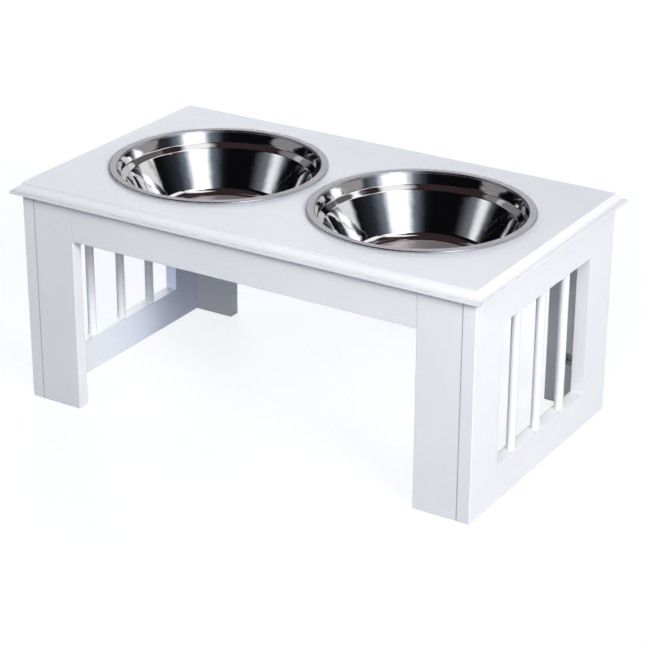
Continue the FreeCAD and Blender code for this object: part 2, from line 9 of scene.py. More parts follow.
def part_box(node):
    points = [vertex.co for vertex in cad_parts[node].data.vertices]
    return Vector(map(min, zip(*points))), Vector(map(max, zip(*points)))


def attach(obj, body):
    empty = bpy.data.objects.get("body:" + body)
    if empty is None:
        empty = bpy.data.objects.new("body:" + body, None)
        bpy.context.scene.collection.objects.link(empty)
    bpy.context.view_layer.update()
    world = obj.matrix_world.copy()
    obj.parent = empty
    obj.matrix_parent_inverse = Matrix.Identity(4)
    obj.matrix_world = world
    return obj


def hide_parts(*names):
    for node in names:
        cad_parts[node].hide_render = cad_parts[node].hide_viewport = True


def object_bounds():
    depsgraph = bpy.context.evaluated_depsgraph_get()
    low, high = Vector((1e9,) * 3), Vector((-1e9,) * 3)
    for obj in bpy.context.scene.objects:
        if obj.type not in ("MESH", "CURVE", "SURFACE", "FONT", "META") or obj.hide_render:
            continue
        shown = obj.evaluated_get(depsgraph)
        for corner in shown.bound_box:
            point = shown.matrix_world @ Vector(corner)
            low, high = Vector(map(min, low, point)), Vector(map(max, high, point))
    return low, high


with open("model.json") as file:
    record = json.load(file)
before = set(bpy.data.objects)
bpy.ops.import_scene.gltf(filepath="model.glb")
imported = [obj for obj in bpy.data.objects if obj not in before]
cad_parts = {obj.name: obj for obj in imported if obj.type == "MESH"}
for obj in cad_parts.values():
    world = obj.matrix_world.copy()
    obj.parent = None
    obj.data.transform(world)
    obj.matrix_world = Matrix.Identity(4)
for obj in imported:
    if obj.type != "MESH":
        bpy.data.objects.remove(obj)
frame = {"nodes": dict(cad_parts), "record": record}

bl_info = {
    "name": "Raised Pet Feeder",
    "version": (1, 0, 0),
    "blender": (4, 5, 0),
    "location": "View3D > Sidebar > Feeder",
    "description": "Paints the frame, spins the steel bowls, finishes the fittings and sets the studio",
    "category": "Object",
}

CAD_LOW, CAD_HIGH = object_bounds()
MM = 0.001
FULL_TURN = math.tau
BOWLS = ("left_bowl", "right_bowl")
TOP = "top_board"
PAINT_SLOT, STEEL_SLOT = "white_paint", "bowl_steel"
ZINC_SLOT, BOLT_SLOT, DOWEL_SLOT = "cam_zinc", "bolt_steel", "dowel_wood"
BOWL_LOW, BOWL_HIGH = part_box(BOWLS[0])
TOP_LOW, TOP_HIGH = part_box(TOP)
RAIL_JOINT, CORNER_JOINT = (corner.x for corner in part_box("front_right_leg"))
WHITE = (1.0, 1.0, 1.0)
SENSOR_WIDTH = 36.0
FLOOR_GAP = 0.1 * MM
CARD_GAP = 0.1
CARD_STEPS = 24
LEFT_RAIL = "left_bottom_rail"

# Noise scales per metre, and the ranges of noise or of agreement that the masks take up
MOTTLE_SCALE = 9.0
MOTTLE_RANGE = (0.3, 0.7)
# Scale and range of the noise that breaks up the painted shade line above the moulding's lip
QUIRK_SHADE_SCALE = 90.0
QUIRK_SHADE_RANGE = (0.4, 0.6)
STREAK_SCALE = 0.13
SMUDGE_RANGE = (0.42, 0.72)
FLECK_RANGE = (0.5, 0.75)
EDGE_RANGE = (0.98, 0.75)
EDGE_SAMPLES = 4

# How much one finish varies from place to place
ROUGHNESS_SPREAD = 0.05
STREAK_SHADE = 0.93
SMUDGE_ROUGHENS = 1.35
YELLOWING = (1.0, 0.95, 0.82)
# Softness of the lower edge of the painted shade line above the moulding's lip
QUIRK_SHADE_EDGE = 0.1 * MM

# Finishes of the steel in the order of a bowl's sections: settings of its colour and roughness, share of
# metal, depths of the spinning marks and of the waves, and size of a smudge
STEEL_FINISHES = {
    "spun_steel_floor": ("spun", "floor_roughness", 0.66, 0.012 * MM, 0.05 * MM, 50.0 * MM),
    "polished_steel": ("steel", "polish", 1.0, 0.002 * MM, 0.12 * MM, 50.0 * MM),
    "satin_steel_flange": ("satin", "satin_roughness", 1.0, 0.0, 0.02 * MM, 20.0 * MM),
    "plain_steel_outside": ("under", "under_roughness", 1.0, 0.01 * MM, 0.05 * MM, 40.0 * MM),
}

# Fineness of the turned meshes
ROUND_STEPS = 192
RING_STEPS = 10
ARC_STEP = math.radians(4.0)
LONGEST_STRETCH = 2.5 * MM
ON_AXIS = 1e-7
COINCIDENT = 1e-3 * MM

# Walls that the steel mirrors: azimuths in degrees from the camera's, and colour
ROOM_WALLS = {
    "dark_wall": ((-165.0, 146.0), (0.004, 0.004, 0.005)),
    "pale_wall": ((146.0, 195.0), (0.66, 0.64, 0.67)),
}

# Soft boxes that the steel mirrors: azimuths in degrees from the camera's, elevations in degrees from the
# bowls' rims, strength, shares of the width and of the height that fade at each edge, and tint
SOFTBOXES = {
    "key_halo": ((-18.0, 95.0), (2.0, 50.0), 0.07, (0.5, 0.1), (0.62, 0.76, 1.0)),
    "key_glow": ((-8.0, 68.0), (2.0, 52.0), 0.5, (0.5, 0.1), (0.72, 0.84, 1.0)),
    "key_softbox": ((8.5, 52.0), (3.0, 54.0), 1.7, (0.4, 0.08), (0.97, 0.985, 1.0)),
    "high_front_softbox": ((26.0, 70.0), (34.0, 57.0), 1.2, (0.1, 0.12), (0.97, 0.98, 1.0)),
    "high_right_softbox": ((69.0, 114.0), (29.0, 52.0), 1.1, (0.06, 0.1), (0.97, 0.98, 1.0)),
    "far_right_softbox": ((98.0, 130.0), (17.5, 34.0), 0.9, (0.12, 0.15), (0.97, 0.98, 1.0)),
    "right_softbox": ((87.0, 132.0), (8.0, 19.5), 0.9, (0.2, 0.25), (0.97, 0.98, 1.0)),
    "low_right_card": ((62.0, 125.0), (-6.0, 9.0), 0.34, (0.15, 0.1), (1.0, 0.96, 0.98)),
    "back_right_card": ((98.0, 165.0), (21.0, 57.0), 0.13, (0.1, 0.1), (1.0, 0.96, 0.97)),
    "left_softbox": ((-112.0, -48.0), (14.0, 31.0), 0.27, (0.5, 0.2), (0.82, 0.90, 1.0)),
    "left_streak": ((-98.0, -72.0), (12.0, 29.0), 0.8, (0.45, 0.2), (0.94, 0.97, 1.0)),
    "low_left_card": ((-122.0, -64.0), (-6.0, 9.5), 0.28, (0.12, 0.1), (1.0, 0.95, 0.97)),
    "back_left_card": ((-165.0, -113.0), (18.0, 57.0), 0.22, (0.1, 0.1), (1.0, 0.96, 0.97)),
    "back_streak": ((-137.0, -128.0), (2.0, 57.0), 0.4, (0.3, 0.1), (0.8, 0.9, 1.0)),
}

# Soft box high overhead, which only the steel mirrors: reach across and along in metres, strength, and
# shares of both that fade at each edge
OVERHEAD = ((0.8, 17.0), (-1.5, 3.2), 1.1, (0.05, 0.25))

# Soft lamps: width in metres, azimuth and elevation in degrees from the feeder's front, distance in metres
LAMPS = {
    "key": (2.0, 64.0, 23.0, 4.5),
    "front": (0.9, 26.0, 34.0, 2.0),
    "rear": (1.6, -138.0, 14.0, 3.0),
}

# Narrow lamps that shine in under the front rail: watts, azimuth, elevation and distance, how far behind the
# middle of the left rail they are aimed as a share of its half length, tint, and the boards they are kept to
SNOOTS = {
    "front_snoot": (34.0, (62.0, 15.0, 1.7), -0.3, (0.82, 0.90, 1.0), ()),
    "rail_snoot": (136.0, (62.0, 15.0, 1.7), -0.3, (0.80, 0.89, 1.0), (LEFT_RAIL, "left_front_stile")),
    "back_snoot": (66.0, (48.0, 10.0, 1.7), 1.0, (0.52, 0.65, 1.0), (LEFT_RAIL, "left_back_stile")),
}


def size(name, description, default):
    """Length property in metres"""
    return bpy.props.FloatProperty(
        name=name, description=description, default=default, min=0.0, precision=5, unit="LENGTH"
    )


def share(name, description, default):
    """Property from nothing to all"""
    return bpy.props.FloatProperty(
        name=name, description=description, default=default, min=0.0, max=1.0, subtype="FACTOR"
    )


def colour(name, description, default):
    """Colour property"""
    return bpy.props.FloatVectorProperty(
        name=name, description=description, default=default, min=0.0, max=1.0, size=3, subtype="COLOR"
    )


def angle(name, description, degrees):
    """Angle property, given in degrees and kept in radians"""
    return bpy.props.FloatProperty(
        name=name, description=description, default=math.radians(degrees), subtype="ANGLE", unit="ROTATION"
    )


def amount(name, description, default):
    """Plain number property"""
    return bpy.props.FloatProperty(name=name, description=description, default=default, min=0.0)


class PaintSettings(bpy.types.PropertyGroup):
    """White paint on every board and spindle"""

    film: colour("Paint colour", "Colour of the paint film", (0.81, 0.802, 0.808))
    film_shade: colour("Thin film colour", "Where the film is thinner over the wood", (0.785, 0.777, 0.782))
    roughness: share("Roughness", "Satin sheen of the film", 0.42)
    specular: share("Specular level", "Strength of the film's sheen", 0.4)
    stipple: size("Stipple size", "Width of one dimple of the sprayed film", 1.6 * MM)
    stipple_height: size("Stipple height", "Depth of the dimples", 0.02 * MM)
    edge: size("Edge radius", "How far the film rounds over a sharp arris", 0.5 * MM)
    # Colour of the dark joints between boards, and of the painted shade line above the moulding's lip
    joint_and_shade: colour("Crevice colour", "Dust in the joints and above the moulding's lip", (0.3, 0.29, 0.3))
    seam: size("Seam width", "Half the width of the joints between boards", 1.0 * MM)
    # Darkness of the painted shade line above the moulding's lip
    quirk_shade: share("Crevice line", "Darkness of the dust line above the moulding's lip", 0.45)
    corner_seam: share("Corner seam", "Darkness of the joints at the corners", 0.8)
    rail_seam: share("Rail seam", "Darkness of the joints at the ends of the rails", 0.15)
    lip: size("Lip height", "Height of the moulding's lip above the board's underside", 3.2 * MM)
    # Height of the painted shade line above the lip
    quirk: size("Crevice height", "Height of the dust line above the lip", 0.6 * MM)


class BowlSettings(bpy.types.PropertyGroup):
    """Spun steel bowls"""

    wall: size("Wall", "Thickness of the steel", 0.8 * MM)
    flange: size("Flange width", "Width of the flat flange with its bends", 8.5 * MM)
    lip: size("Lip height", "How far the rim turns down", 3.0 * MM)
    lip_bend: size("Lip bend radius", "Bends at both sides of the flange", 1.3 * MM)
    band: size("Band depth", "Depth of the band under the flange", 13.5 * MM)
    band_inset: size("Band inset", "How far the band slopes in", 4.0 * MM)
    shoulder_inset: size("Shoulder inset", "How far the shoulder steps in", 6.0 * MM)
    shoulder_drop: size("Shoulder drop", "How far the shoulder drops", 5.0 * MM)
    bend: size("Shoulder bend radius", "Bends above and below the shoulder", 2.5 * MM)
    base: size("Base diameter", "Width where wall and floor would meet", 160.0 * MM)
    corner: size("Corner radius", "Round corner between wall and floor", 12.0 * MM)
    ring_pitch: size("Ring pitch", "Distance between the rings spun into the floor", 7.0 * MM)
    ring_height: size("Ring height", "Height of those rings", 0.12 * MM)
    steel: colour("Steel colour", "Polished inside", (0.80, 0.79, 0.785))
    spun: colour("Floor colour", "Spun floor, a little warmer", (0.79, 0.70, 0.68))
    satin: colour("Flange colour", "Satin flange", (0.66, 0.66, 0.70))
    under: colour("Underside colour", "Plain outside", (0.58, 0.58, 0.585))
    polish: share("Polish roughness", "Roughness of the polished inside", 0.045)
    floor_roughness: share("Floor roughness", "Roughness of the spun floor", 0.3)
    satin_roughness: share("Flange roughness", "Roughness of the satin flange", 0.26)
    under_roughness: share("Underside roughness", "Roughness of the outside", 0.34)
    spin_pitch: size("Spinning marks", "Pitch of the fine marks left by spinning", 0.7 * MM)
    wave: size("Wave size", "Length of the gentle waves in the sheet", 14.0 * MM)


class FittingSettings(bpy.types.PropertyGroup):
    """Cam locks, bolts and dowels"""

    zinc: colour("Zinc colour", "Die-cast cam locks", (0.17, 0.165, 0.16))
    zinc_worn: colour("Worn zinc colour", "Edges rubbed bright by the screwdriver", (0.45, 0.44, 0.42))
    plated: colour("Plated steel colour", "Cam bolts", (0.62, 0.61, 0.57))
    beech: colour("Beech colour", "Pale wood of the dowels", (0.70, 0.53, 0.35))
    beech_dark: colour("Beech grain colour", "Dark flecks in the wood", (0.52, 0.36, 0.22))
    cast_grain: size("Casting grain", "Grain of the cast surface", 0.6 * MM)
    cast_grain_height: size("Casting grain height", "Height of that grain", 0.03 * MM)
    cast_edge: size("Cast edge radius", "Rounding of the castings' edges", 0.3 * MM)
    cast_smudge: size("Casting smudge", "Size of a smudge on the castings", 4.0 * MM)
    cast_roughness: share("Casting roughness", "Roughness of clean cast zinc", 0.42)
    cast_smudge_roughness: share("Smudged casting roughness", "Roughness of smudged cast zinc", 0.6)
    bolt_smudge: size("Bolt smudge", "Size of a smudge on the bolts", 6.0 * MM)
    bolt_roughness: share("Bolt roughness", "Roughness of clean plating", 0.28)
    bolt_smudge_roughness: share("Smudged bolt roughness", "Roughness of smudged plating", 0.4)
    fleck: size("Wood fleck", "Width of a fleck in the wood", 0.5 * MM)
    fleck_height: size("Wood fleck height", "Height of the grain in the wood", 0.02 * MM)
    beech_roughness: share("Beech roughness", "Roughness of bare wood", 0.7)


class StageSettings(bpy.types.PropertyGroup):
    """Camera, light and floor"""

    azimuth: angle("Camera azimuth", "Turn of the camera from the front towards the right end", 31.814)
    elevation: angle("Camera elevation", "Height of the camera above the horizon", 24.036)
    roll: angle("Camera roll", "Tilt of the camera to its side", 0.229)
    distance: size("Camera distance", "From the camera to the aim point", 2.4119)
    aim: bpy.props.FloatVectorProperty(
        name="Aim point",
        description="Point in the middle of the picture",
        default=(-0.014, 0.034, 0.0812),
        size=3,
        subtype="XYZ",
        unit="LENGTH",
    )
    lens: amount("Lens", "Focal length in millimetres on a 36 mm sensor", 119.15)
    floor: colour("Floor colour", "Matt part of the floor, which takes the shadow", (0.19, 0.205, 0.245))
    floor_lift: share("Floor lift", "Share of the floor's white that is its own glow", 0.82)
    floor_width: size("Floor width", "Side of the square floor", 14.0)
    sky: colour("Sky colour", "Even light from all round", (0.52, 0.69, 1.0))
    sky_strength: amount("Sky strength", "Level of the even light", 0.21)
    key_power: amount("Key power", "Watts of the far soft lamp at the front right", 192.0)
    front_power: amount("Front power", "Watts of the near soft lamp at the front", 17.0)
    rear_power: amount("Rear power", "Watts of the soft lamp at the back left", 92.0)
    snoot_beam: angle("Snoot beam", "Width of the narrow lamps' beams", 7.0)
    snoot_width: size("Snoot width", "Width of the narrow lamps' mouths", 0.06)
    room_radius: size("Room radius", "Distance of the dark walls that only the steel mirrors", 2.5)
    room_height: size("Room height", "Height of those walls", 3.4)
    ceiling: colour("Ceiling colour", "Dark brown overhead", (0.037, 0.024, 0.026))
    ceiling_height: size("Ceiling height", "Height of the ceiling that the steel mirrors", 12.0)
    ceiling_width: size("Ceiling width", "Side of the square ceiling", 36.0)


class Graph:
    """Node tree with short calls that add nodes and join their sockets"""

    def __init__(self, tree):
        self.tree = tree

    def add(self, kind, inputs=None, **settings):
        """New node, with its inputs joined to a socket or set to a value"""
        node = self.tree.nodes.new("ShaderNode" + kind)
        for name, value in settings.items():
            setattr(node, name, value)
        for name, value in (inputs or {}).items():
            self.put(node.inputs[name], value)
        return node

    def put(self, socket, value):
        """Join a socket to another, or set its value"""
        if isinstance(value, bpy.types.NodeSocket):
            self.tree.links.new(value, socket)
        else:
            socket.default_value = value

    def math(self, operation, first, second=0.0):
        """One operation on two numbers or sockets"""
        return self.add("Math", {0: first, 1: second}, operation=operation).outputs[0]

    def spread(self, value, low, high, to_low=0.0, to_high=1.0):
        """Value eased from one range to another and kept inside it"""
        inputs = {"Value": value, "From Min": low, "From Max": high, "To Min": to_low, "To Max": to_high}
        return self.add("MapRange", inputs, interpolation_type="SMOOTHSTEP").outputs["Result"]

    def mix(self, factor, first, second):
        """Blend of two colours"""
        node = self.add("Mix", data_type="RGBA")
        by_name = {s.identifier: s for s in node.inputs}
        self.put(by_name["Factor_Float"], factor)
        self.put(by_name["A_Color"], first)
        self.put(by_name["B_Color"], second)
        return next(s for s in node.outputs if s.identifier == "Result_Color")

    def noise(self, vector, scale, detail=2.0):
        """Noise value at a place"""
        return self.add("TexNoise", {"Vector": vector, "Scale": scale, "Detail": detail}).outputs["Fac"]

    def place(self):
        """Place on the object in metres"""
        return self.add("TexCoord").outputs["Object"]

    def group(self, tree, **values):
        """Shared effect placed here with its own values"""
        node = self.add("Group", node_tree=tree)
        for name, value in values.items():
            node.inputs[name].default_value = value
        return node.outputs


def opaque(rgb):
    """Colour with full alpha"""
    return (*rgb, 1.0)


def effect(name, inputs, outputs):
    """Empty shared effect: gives its graph, the inputs that it takes and the outputs that it gives"""
    tree = bpy.data.node_groups.new(name, "ShaderNodeTree")
    for label, default in inputs.items():
        socket = tree.interface.new_socket(name=label, in_out="INPUT", socket_type="NodeSocketFloat")
        socket.default_value = default
    for label, kind in outputs.items():
        tree.interface.new_socket(name=label, in_out="OUTPUT", socket_type="NodeSocket" + kind)
    graph = Graph(tree)
    taken = tree.nodes.new("NodeGroupInput").outputs
    given = tree.nodes.new("NodeGroupOutput").inputs
    return graph, taken, given


def film_stipple():
    """Sprayed film: fine dimples and a broad unevenness"""
    name = "Film Stipple"
    if name in bpy.data.node_groups:
        return bpy.data.node_groups[name]
    graph, taken, given = effect(name, {"Size": MM}, {"Height": "Float", "Mottle": "Float"})
    place = graph.place()
    fine_scale = graph.math("DIVIDE", 1.0, taken["Size"])
    graph.put(given["Height"], graph.noise(place, fine_scale, detail=3.0))
    graph.put(given["Mottle"], graph.spread(graph.noise(place, MOTTLE_SCALE, detail=4.0), *MOTTLE_RANGE))
    return graph.tree


def eased_edge():
    """Rounded arris: a softened normal, and a mask along the edge"""
    name = "Eased Edge"
    if name in bpy.data.node_groups:
        return bpy.data.node_groups[name]
    graph, taken, given = effect(name, {"Radius": MM}, {"Normal": "Vector", "Edge": "Float"})
    soft = graph.add("Bevel", {"Radius": taken["Radius"]}, samples=EDGE_SAMPLES).outputs["Normal"]
    flat = graph.add("NewGeometry").outputs["Normal"]
    agreement = graph.add("VectorMath", {0: soft, 1: flat}, operation="DOT_PRODUCT").outputs["Value"]
    graph.put(given["Normal"], soft)
    graph.put(given["Edge"], graph.spread(agreement, *EDGE_RANGE))
    return graph.tree


def spun_marks():
    """Fine rings round a turned piece, with faint streaks along them"""
    name = "Spun Marks"
    if name in bpy.data.node_groups:
        return bpy.data.node_groups[name]
    graph, taken, given = effect(name, {"Pitch": MM}, {"Height": "Float", "Streak": "Float"})
    place = graph.place()
    flat = graph.add("VectorMath", {0: place, 1: (1.0, 1.0, 0.0)}, operation="MULTIPLY").outputs["Vector"]
    radius = graph.add("VectorMath", {0: flat}, operation="LENGTH").outputs["Value"]
    height = graph.add("SeparateXYZ", {"Vector": place}).outputs["Z"]
    turns = graph.math("DIVIDE", graph.math("ADD", radius, height), taken["Pitch"])
    along = graph.add("CombineXYZ", {"X": turns}).outputs["Vector"]
    graph.put(given["Height"], graph.noise(along, 1.0, detail=1.0))
    graph.put(given["Streak"], graph.noise(along, STREAK_SCALE, detail=2.0))
    return graph.tree


def handling_marks():
    """Faint smudges from handling"""
    name = "Handling Marks"
    if name in bpy.data.node_groups:
        return bpy.data.node_groups[name]
    graph, taken, given = effect(name, {"Size": MM}, {"Smudge": "Float"})
    scale = graph.math("DIVIDE", 1.0, taken["Size"])
    graph.put(given["Smudge"], graph.spread(graph.noise(graph.place(), scale, detail=5.0), *SMUDGE_RANGE))
    return graph.tree


def new_material(name):
    """Empty material: gives it with its graph and its Principled shader"""
    material = bpy.data.materials.new(name)
    material.use_nodes = True
    shader = material.node_tree.nodes["Principled BSDF"]
    return material, Graph(material.node_tree), shader


def bump(graph, height, distance, normal=None):
    """Normal roughened by a height"""
    inputs = {"Height": height, "Distance": distance, "Strength": 1.0}
    if normal is not None:
        inputs["Normal"] = normal
    return graph.add("Bump", inputs).outputs["Normal"]


def paint_material(paint, name, lines):
    """Satin white paint, darker along the lines that a function gives as a mask"""
    material, graph, shader = new_material(name)
    film = graph.group(film_stipple(), Size=paint.stipple)
    edge = graph.group(eased_edge(), Radius=paint.edge)
    tone = graph.mix(film["Mottle"], opaque(paint.film), opaque(paint.film_shade))
    # Darker towards that colour along the dark joints, and along the painted shade line on the moulding
    tone = graph.mix(lines(graph, paint), tone, opaque(paint.joint_and_shade))
    graph.put(shader.inputs["Base Color"], tone)
    smoother, rougher = (paint.roughness + way * ROUGHNESS_SPREAD for way in (-1, 1))
    graph.put(shader.inputs["Roughness"], graph.spread(film["Mottle"], 0.0, 1.0, smoother, rougher))
    shader.inputs["Specular IOR Level"].default_value = paint.specular
    normal = bump(graph, film["Height"], paint.stipple_height, normal=edge["Normal"])
    graph.put(shader.inputs["Normal"], normal)
    return material


def quirk_shade_line(graph, paint):
    """Mask of the painted shade line along the foot of the moulding's hollow, on the front only and broken
    up by noise
    """
    place = graph.place()
    parts = graph.add("SeparateXYZ", {"Vector": place}).outputs
    foot = TOP_LOW.z + paint.lip
    above = graph.math("SUBTRACT", parts["Z"], foot)
    over_foot = graph.spread(above, -QUIRK_SHADE_EDGE, QUIRK_SHADE_EDGE)
    under_top = graph.spread(above, paint.quirk, paint.quirk / 2)
    near = graph.math("MULTIPLY", over_foot, under_top)
    at_front = graph.math("LESS_THAN", parts["Y"], TOP_LOW.y / 2)
    # Noise breaks the painted shade line into patches
    broken = graph.spread(graph.noise(place, QUIRK_SHADE_SCALE, detail=3.0), *QUIRK_SHADE_RANGE, 0.0, paint.quirk_shade)
    return graph.math("MULTIPLY", graph.math("MULTIPLY", near, at_front), broken)


def seam_lines(graph, paint):
    """Mask of the thin dark joints between the boards of the front and back frames"""
    parts = graph.add("SeparateXYZ", {"Vector": graph.place()}).outputs
    across = graph.math("ABSOLUTE", parts["X"])
    line = 0.0
    for joint, depth in ((CORNER_JOINT, paint.corner_seam), (RAIL_JOINT, paint.rail_seam)):
        away = graph.math("ABSOLUTE", graph.math("SUBTRACT", across, joint))
        near = graph.math("MULTIPLY", graph.spread(away, paint.seam, paint.seam / 4), depth)
        line = graph.math("MAXIMUM", near, line)
    return line


def steel_material(bowls, name, tone, roughness, metal, mark_depth, wave_depth, smudge_size):
    """Stainless steel with spinning marks, gentle waves and smudges"""
    material, graph, shader = new_material(name)
    marks = graph.group(spun_marks(), Pitch=bowls.spin_pitch)
    smudge = graph.group(handling_marks(), Size=smudge_size)["Smudge"]
    waves = graph.noise(graph.place(), 1.0 / bowls.wave, detail=1.0)
    darker = tuple(STREAK_SHADE * c for c in tone)
    graph.put(shader.inputs["Base Color"], graph.mix(marks["Streak"], opaque(darker), opaque(tone)))
    shader.inputs["Metallic"].default_value = metal
    smudged = SMUDGE_ROUGHENS * roughness
    graph.put(shader.inputs["Roughness"], graph.spread(smudge, 0.0, 1.0, roughness, smudged))
    wavy = bump(graph, waves, wave_depth)
    graph.put(shader.inputs["Normal"], bump(graph, marks["Height"], mark_depth, normal=wavy))
    return material


def zinc_material(fittings):
    """Die-cast zinc, rubbed brighter along its edges"""
    material, graph, shader = new_material("cast_zinc")
    edge = graph.group(eased_edge(), Radius=fittings.cast_edge)
    smudge = graph.group(handling_marks(), Size=fittings.cast_smudge)["Smudge"]
    tone = graph.mix(edge["Edge"], opaque(fittings.zinc), opaque(fittings.zinc_worn))
    graph.put(shader.inputs["Base Color"], tone)
    shader.inputs["Metallic"].default_value = 1.0
    clean, smudged = fittings.cast_roughness, fittings.cast_smudge_roughness
    graph.put(shader.inputs["Roughness"], graph.spread(smudge, 0.0, 1.0, clean, smudged))
    grain = graph.noise(graph.place(), 1.0 / fittings.cast_grain, detail=3.0)
    graph.put(shader.inputs["Normal"], bump(graph, grain, fittings.cast_grain_height, edge["Normal"]))
    return material


def plated_material(fittings):
    """Zinc-plated steel bolts"""
    material, graph, shader = new_material("plated_steel")
    smudge = graph.group(handling_marks(), Size=fittings.bolt_smudge)["Smudge"]
    yellowed = tuple(c * f for c, f in zip(fittings.plated, YELLOWING))
    graph.put(shader.inputs["Base Color"], graph.mix(smudge, opaque(fittings.plated), opaque(yellowed)))
    shader.inputs["Metallic"].default_value = 1.0
    clean, smudged = fittings.bolt_roughness, fittings.bolt_smudge_roughness
    graph.put(shader.inputs["Roughness"], graph.spread(smudge, 0.0, 1.0, clean, smudged))
    return material


def beech_material(fittings):
    """Bare beech dowels with short dark flecks"""
    material, graph, shader = new_material("bare_beech")
    flecks = graph.noise(graph.place(), 1.0 / fittings.fleck, detail=2.0)
    tone = graph.mix(
        graph.spread(flecks, *FLECK_RANGE), opaque(fittings.beech), opaque(fittings.beech_dark)
    )
    graph.put(shader.inputs["Base Color"], tone)
    shader.inputs["Roughness"].default_value = fittings.beech_roughness
    graph.put(shader.inputs["Normal"], bump(graph, flecks, fittings.fleck_height))
    return material


def nodes_in_slot(slot):
    """CAD objects whose record names this material slot"""
    names = [part["node"] for part in frame["record"]["subparts"] if part["material_slot"] == slot]
    if not names:
        raise RuntimeError(f"the frame has no piece in slot {slot}")
    return [frame["nodes"][name] for name in names]


def finish_node(item, material):
    """Give a CAD object one material"""
    item.data.materials.clear()
    item.data.materials.append(material)


def rounded(points):
    """Profile through (across, up, radius) points, each corner with a radius turned into an arc"""
    profile = [Vector(points[0][:2])]
    for before, (across, up, radius), after in zip(points, points[1:], points[2:]):
        corner = Vector((across, up))
        back = (Vector(before[:2]) - corner).normalized()
        ahead = (Vector(after[:2]) - corner).normalized()
        half = back.angle(ahead) / 2
        middle = corner + (back + ahead).normalized() * radius / math.sin(half)
        start = corner + back * radius / math.tan(half) - middle
        turn = math.pi - 2 * half
        side = 1.0 if back.cross(ahead) < 0 else -1.0
        steps = max(2, math.ceil(turn / ARC_STEP))
        for step in range(steps + 1):
            profile.append(middle + Matrix.Rotation(side * turn * step / steps, 2) @ start)
    profile.append(Vector(points[-1][:2]))
    return profile


def refined(profile, longest):
    """Profile without points that coincide, and with points added so that no stretch is longer than asked"""
    points = [profile[0]]
    for point in profile[1:]:
        last = points[-1]
        length = (point - last).length
        if length > COINCIDENT:
            steps = math.ceil(length / longest)
            points += [last.lerp(point, step / steps) for step in range(1, steps + 1)]
    return points


def lathe(name, sections):
    """Turned mesh from profile sections that follow on; each section's faces have its number as material"""
    profile, numbers = [sections[0][0]], []
    for number, section in enumerate(sections):
        profile += section[1:]
        numbers += [number] * (len(section) - 1)
    turns = [FULL_TURN * step / ROUND_STEPS for step in range(ROUND_STEPS)]
    vertices, rings = [], []
    for across, up in profile:
        first = len(vertices)
        if across < ON_AXIS:
            vertices.append((0.0, 0.0, up))
            rings.append([first] * ROUND_STEPS)
        else:
            vertices += [(across * math.cos(turn), across * math.sin(turn), up) for turn in turns]
            rings.append([first + step for step in range(ROUND_STEPS)])
    faces, materials = [], []
    for low, high, number in zip(rings, rings[1:], numbers):
        for step in range(ROUND_STEPS):
            following = (step + 1) % ROUND_STEPS
            corners = (low[step], low[following], high[following], high[step])
            faces.append(list(dict.fromkeys(corners)))
            materials.append(number)
    mesh = bpy.data.meshes.new(name)
    mesh.from_pydata(vertices, [], faces)
    mesh.polygons.foreach_set("material_index", materials)
    mesh.shade_smooth()
    return mesh


def add_object(name, mesh):
    """Object with a mesh, in the scene"""
    item = bpy.data.objects.new(name, mesh)
    bpy.context.scene.collection.objects.link(item)
    return item


def floor_profile(bowls, flat_radius):
    """Floor of a bowl from its middle out, with low rings that fade towards the corner"""
    steps = math.ceil(flat_radius / bowls.ring_pitch * RING_STEPS)
    points = []
    for step in range(steps + 1):
        radius = flat_radius * step / steps
        fade = math.sin(math.pi * step / steps)
        wave = math.cos(FULL_TURN * radius / bowls.ring_pitch)
        points.append(Vector((radius, bowls.wall + bowls.ring_height * fade * wave)))
    return points


def bowl_sections(bowls):
    """Profile of a bowl: spun floor, polished inside, satin flange with its lip, and plain outside"""
    rim = (BOWL_HIGH.x - BOWL_LOW.x) / 2
    depth = BOWL_HIGH.z - BOWL_LOW.z
    wall, half_wall = bowls.wall, bowls.wall / 2
    band = rim - bowls.flange
    step = band - bowls.band_inset
    shoulder = step - bowls.shoulder_inset
    base = bowls.base / 2
    band_foot = depth - bowls.band
    shoulder_foot = band_foot - bowls.shoulder_drop
    flat_radius = base - bowls.corner * math.tan(math.atan2(shoulder_foot - wall, shoulder - base) / 2)
    under_lip = (rim - wall, depth - 2 * wall, 0.0)
    top_drop = 2 * bowls.lip_bend
    band_top = (band - bowls.band_inset * top_drop / bowls.band, depth - top_drop, 0.0)
    inside = [
        (flat_radius, wall, 0.0),
        (base, wall, bowls.corner),
        (shoulder, shoulder_foot, bowls.bend),
        (step, band_foot, bowls.bend),
        band_top,
    ]
    flange = [
        band_top,
        (band, depth, bowls.lip_bend),
        (rim, depth, bowls.lip_bend),
        (rim, depth - bowls.lip, wall / 3),
        (rim - wall, depth - bowls.lip, wall / 3),
        under_lip,
    ]
    outside = [
        under_lip,
        (rim - wall, depth - wall, half_wall),
        (band + wall, depth - wall, half_wall),
        (step + wall, band_foot - half_wall, bowls.bend),
        (shoulder + wall, shoulder_foot - half_wall, bowls.bend),
        (base + half_wall, 0.0, bowls.corner + wall),
        (0.0, 0.0, 0.0),
    ]
    shaped = [refined(rounded(points), LONGEST_STRETCH) for points in (inside, flange, outside)]
    return [floor_profile(bowls, flat_radius), *shaped]


class FEEDER_OT_boards(bpy.types.Operator):
    """Paint every board and spindle of the frame white"""

    bl_idname = "feeder.boards"
    bl_label = "Paint the Frame"

    def execute(self, context):
        paint = context.scene.feeder_paint
        film = paint_material(paint, "white_satin_paint", seam_lines)
        for item in nodes_in_slot(PAINT_SLOT):
            finish_node(item, film)
        # The top board's paint is darkened by a painted shade line above the moulding's lip
        moulding = paint_material(paint, "white_moulding_paint", quirk_shade_line)
        finish_node(frame["nodes"][TOP], moulding)
        return {"FINISHED"}


